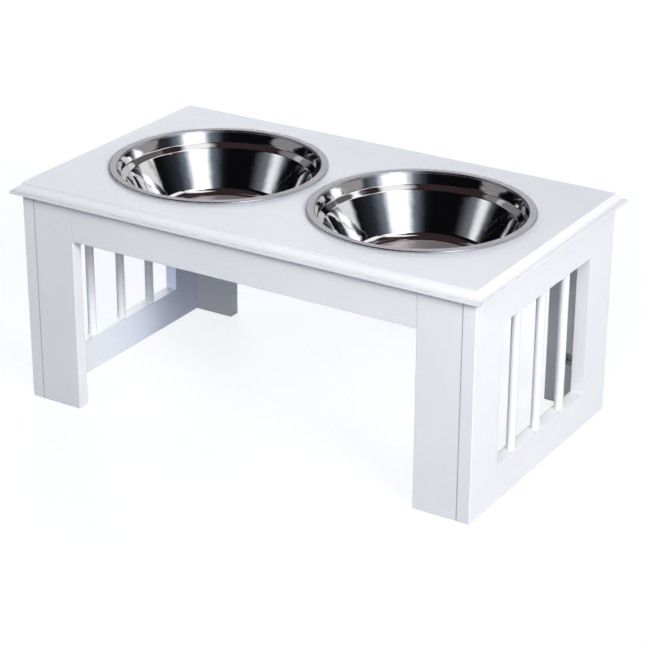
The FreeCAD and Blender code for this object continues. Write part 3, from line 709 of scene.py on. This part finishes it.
class FEEDER_OT_bowls(bpy.types.Operator):
    """Spin two steel bowls in place of the plain ones"""

    bl_idname = "feeder.bowls"
    bl_label = "Spin the Bowls"

    def execute(self, context):
        bowls = context.scene.feeder_bowls
        mesh = lathe("steel_bowl", bowl_sections(bowls))
        for name, (tone, roughness, *others) in STEEL_FINISHES.items():
            tone, roughness = getattr(bowls, tone), getattr(bowls, roughness)
            mesh.materials.append(steel_material(bowls, name, tone, roughness, *others))
        for node in BOWLS:
            low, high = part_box(node)
            item = add_object(f"{node}_spun", mesh)
            item.location = ((low.x + high.x) / 2, (low.y + high.y) / 2, low.z)
            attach(item, node)
            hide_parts(node)
        return {"FINISHED"}


class FEEDER_OT_fittings(bpy.types.Operator):
    """Finish the cam locks, their bolts and the dowels"""

    bl_idname = "feeder.fittings"
    bl_label = "Finish the Fittings"

    def execute(self, context):
        fittings = context.scene.feeder_fittings
        finishes = {
            ZINC_SLOT: zinc_material(fittings),
            BOLT_SLOT: plated_material(fittings),
            DOWEL_SLOT: beech_material(fittings),
        }
        for slot, material in finishes.items():
            for item in nodes_in_slot(slot):
                finish_node(item, material)
        return {"FINISHED"}


def seen_ray(graph):
    """One for rays that the camera sends, straight or by way of metal or glass"""
    path = graph.add("LightPath").outputs
    direct = graph.math("MAXIMUM", path["Is Camera Ray"], path["Is Glossy Ray"])
    return graph.math("MAXIMUM", direct, path["Is Transmission Ray"])


def set_world(stage):
    """White where it is seen, even sky light elsewhere"""
    world = bpy.data.worlds.new("studio")
    bpy.context.scene.world = world
    world.use_nodes = True
    world.node_tree.nodes.clear()
    graph = Graph(world.node_tree)
    sky = graph.add("Background", {"Color": opaque(stage.sky), "Strength": stage.sky_strength})
    white = graph.add("Background", {"Color": opaque(WHITE), "Strength": 1.0})
    both = graph.add("MixShader", {0: seen_ray(graph), 1: sky.outputs[0], 2: white.outputs[0]})
    graph.add("OutputWorld", {"Surface": both.outputs[0]})


def floor_material(stage):
    """Pale floor that keeps a soft shadow, and can be seen through from below"""
    material = bpy.data.materials.new("studio_floor")
    material.use_nodes = True
    material.node_tree.nodes.clear()
    graph = Graph(material.node_tree)
    matt = graph.add("BsdfDiffuse", {"Color": opaque(stage.floor)}).outputs[0]
    lift = graph.math("MULTIPLY", seen_ray(graph), stage.floor_lift)
    glow = graph.add("Emission", {"Color": opaque(WHITE), "Strength": lift}).outputs[0]
    lit = graph.add("AddShader", {0: matt, 1: glow}).outputs[0]
    clear = graph.add("BsdfTransparent").outputs[0]
    below = graph.add("NewGeometry").outputs["Backfacing"]
    graph.add("OutputMaterial", {"Surface": graph.add("MixShader", {0: below, 1: lit, 2: clear}).outputs[0]})
    return material


def panel_material(name, tint, strength, soft_shares):
    """Glowing panel that fades towards its edges; the shares are for its sides and for its foot and top"""
    material = bpy.data.materials.new(name)
    material.use_nodes = True
    material.node_tree.nodes.clear()
    graph = Graph(material.node_tree)
    parts = graph.add("SeparateXYZ", {"Vector": graph.add("TexCoord").outputs["UV"]}).outputs
    level = strength
    for axis, soft in zip("XY", soft_shares):
        for low, high in ((0.0, soft), (1.0, 1.0 - soft)):
            level = graph.math("MULTIPLY", graph.spread(parts[axis], low, high), level)
    glow = graph.add("Emission", {"Color": opaque(tint), "Strength": level}).outputs[0]
    if soft_shares:
        clear = graph.add("BsdfTransparent").outputs[0]
        glow = graph.add("AddShader", {0: glow, 1: clear}).outputs[0]
    graph.add("OutputMaterial", {"Surface": glow})
    return material


def mirrored_only(item):
    """Keep a stage card out of sight and out of the light: only polished metal shows it"""
    item.visible_camera = False
    item.visible_diffuse = False
    item.visible_transmission = False
    item.visible_volume_scatter = False
    item.visible_shadow = False


def card(name, vertices, faces, places):
    """Flat or curved card; the places tell how far across and up it each vertex lies"""
    mesh = bpy.data.meshes.new(name)
    mesh.from_pydata(vertices, [], faces)
    layer = mesh.uv_layers.new(name="across").data
    for loop in mesh.loops:
        layer[loop.index].uv = places[loop.vertex_index]
    return add_object(name, mesh)


def curved_card(name, first_azimuth, degrees, radius, heights):
    """Upright card curved round the feeder between two azimuths in degrees from the first azimuth"""
    start, end = (first_azimuth + math.radians(turn) for turn in degrees)
    ways = [step / CARD_STEPS for step in range(CARD_STEPS + 1)]
    turns = [start + (end - start) * way for way in ways]
    vertices = [(radius * math.sin(turn), -radius * math.cos(turn), up) for turn in turns for up in heights]
    faces = [(2 * n, 2 * n + 2, 2 * n + 3, 2 * n + 1) for n in range(CARD_STEPS)]
    return card(name, vertices, faces, [(way, row) for way in ways for row in (0.0, 1.0)])


def flat_card(name, across, along, height):
    """Level card between two distances across and two along"""
    corners = ((0, 0), (1, 0), (1, 1), (0, 1))
    vertices = [(across[right], along[back], height) for right, back in corners]
    return card(name, vertices, [(0, 1, 2, 3)], corners)


def middle_reach(width):
    """Both ends of a width about the middle"""
    return (-width / 2, width / 2)


def place_lamp(lamp, target, azimuth, elevation, distance):
    """Stand a lamp off from the point that it is aimed at"""
    item = bpy.data.objects.new(lamp.name, lamp)
    bpy.context.scene.collection.objects.link(item)
    out = direction(math.radians(azimuth), math.radians(elevation))
    item.location = target + out * distance
    item.rotation_euler = out.to_track_quat("Z", "Y").to_euler()
    item.visible_camera = False
    item.visible_glossy = False
    return item


def add_lamps(stage):
    """Soft lamps on the whole feeder, and narrow ones on the inside of its left end"""
    for name, (width, *placing) in LAMPS.items():
        lamp = bpy.data.lights.new(f"{name}_lamp", "AREA")
        lamp.shape = "DISK"
        lamp.size = width
        lamp.energy = getattr(stage, f"{name}_power")
        place_lamp(lamp, (CAD_LOW + CAD_HIGH) / 2, *placing)
    low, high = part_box(LEFT_RAIL)
    for name, (power, placing, aim_share, tint, boards) in SNOOTS.items():
        lamp = bpy.data.lights.new(f"{name}_lamp", "SPOT")
        lamp.spot_size = stage.snoot_beam
        lamp.spot_blend = 1.0
        lamp.shadow_soft_size = stage.snoot_width / 2
        lamp.energy = power
        lamp.color = tint
        target = Vector((high.x, high.y * aim_share, (low.z + high.z) / 2))
        item = place_lamp(lamp, target, *placing)
        if boards:
            kept_to = bpy.data.collections.new(name)
            for board in boards:
                kept_to.objects.link(frame["nodes"][board])
            item.light_linking.receiver_collection = kept_to


def direction(azimuth, elevation):
    """Unit vector out from the feeder; azimuth zero is the front and turns towards the right end"""
    level = math.cos(elevation)
    return Vector((math.sin(azimuth) * level, -math.cos(azimuth) * level, math.sin(elevation)))


def add_camera(stage):
    """Camera at the photograph's viewing angle"""
    lens = bpy.data.cameras.new("camera")
    lens.sensor_width = SENSOR_WIDTH
    lens.lens = stage.lens
    item = bpy.data.objects.new("camera", lens)
    bpy.context.scene.collection.objects.link(item)
    back = direction(stage.azimuth, stage.elevation)
    right = Vector((math.cos(stage.azimuth), math.sin(stage.azimuth), 0.0))
    turn = Matrix((right, back.cross(right), back)).transposed() @ Matrix.Rotation(stage.roll, 3, "Z")
    item.matrix_world = Matrix.Translation(Vector(stage.aim) + back * stage.distance) @ turn.to_4x4()
    bpy.context.scene.camera = item


class FEEDER_OT_stage(bpy.types.Operator):
    """Set the floor, the lamps, the cards that the steel mirrors and the camera"""

    bl_idname = "feeder.stage"
    bl_label = "Set the Stage"

    def execute(self, context):
        stage = context.scene.feeder_stage
        context.scene.view_settings.view_transform = "Standard"
        set_world(stage)
        reach = middle_reach(stage.floor_width)
        floor = flat_card("studio_floor", reach, reach, CAD_LOW.z - FLOOR_GAP)
        floor.data.materials.append(floor_material(stage))
        room_heights = (CAD_LOW.z, stage.room_height)
        for name, (degrees, tint) in ROOM_WALLS.items():
            wall = curved_card(name, stage.azimuth, degrees, stage.room_radius, room_heights)
            wall.data.materials.append(panel_material(name, tint, 1.0, ()))
            mirrored_only(wall)
        reach = middle_reach(stage.ceiling_width)
        ceiling = flat_card("ceiling", reach, reach, stage.ceiling_height)
        ceiling.data.materials.append(panel_material("ceiling", stage.ceiling, 1.0, ()))
        mirrored_only(ceiling)
        across, along, strength, soft_shares = OVERHEAD
        overhead = flat_card("overhead_softbox", across, along, stage.ceiling_height - CARD_GAP)
        overhead.data.materials.append(panel_material("overhead_softbox", WHITE, strength, soft_shares))
        mirrored_only(overhead)
        radius = stage.room_radius
        for name, (degrees, elevations, strength, soft_shares, tint) in SOFTBOXES.items():
            radius -= CARD_GAP
            heights = [CAD_HIGH.z + radius * math.tan(math.radians(rise)) for rise in elevations]
            softbox = curved_card(name, stage.azimuth, degrees, radius, heights)
            softbox.data.materials.append(panel_material(name, tint, strength, soft_shares))
            mirrored_only(softbox)
        add_lamps(stage)
        add_camera(stage)
        return {"FINISHED"}


class FEEDER_PT_build(bpy.types.Panel):
    """Steps that dress the feeder, with the sizes and colours that each uses"""

    bl_idname = "FEEDER_PT_build"
    bl_label = "Raised Pet Feeder"
    bl_space_type = "VIEW_3D"
    bl_region_type = "UI"
    bl_category = "Feeder"

    def draw(self, context):
        for operator, pointer in zip(OPERATORS, SETTINGS):
            box = self.layout.box()
            box.operator(operator.bl_idname)
            settings = getattr(context.scene, pointer)
            for name in settings.bl_rna.properties.keys():
                if name not in ("rna_type", "name"):
                    box.prop(settings, name)


OPERATORS = (FEEDER_OT_boards, FEEDER_OT_bowls, FEEDER_OT_fittings, FEEDER_OT_stage)
SETTINGS = {
    "feeder_paint": PaintSettings,
    "feeder_bowls": BowlSettings,
    "feeder_fittings": FittingSettings,
    "feeder_stage": StageSettings,
}


def register():
    """Add the settings, the operators and the panel"""
    for pointer, settings in SETTINGS.items():
        bpy.utils.register_class(settings)
        setattr(bpy.types.Scene, pointer, bpy.props.PointerProperty(type=settings))
    for operator in OPERATORS:
        bpy.utils.register_class(operator)
    bpy.utils.register_class(FEEDER_PT_build)


def unregister():
    """Take them away again"""
    bpy.utils.unregister_class(FEEDER_PT_build)
    for operator in reversed(OPERATORS):
        bpy.utils.unregister_class(operator)
    for pointer, settings in reversed(SETTINGS.items()):
        delattr(bpy.types.Scene, pointer)
        bpy.utils.unregister_class(settings)


def main():
    """Dress the feeder step by step"""
    register()
    bpy.ops.feeder.boards()
    bpy.ops.feeder.bowls()
    bpy.ops.feeder.fittings()
    bpy.ops.feeder.stage()


if __name__ == "__main__":
    main()
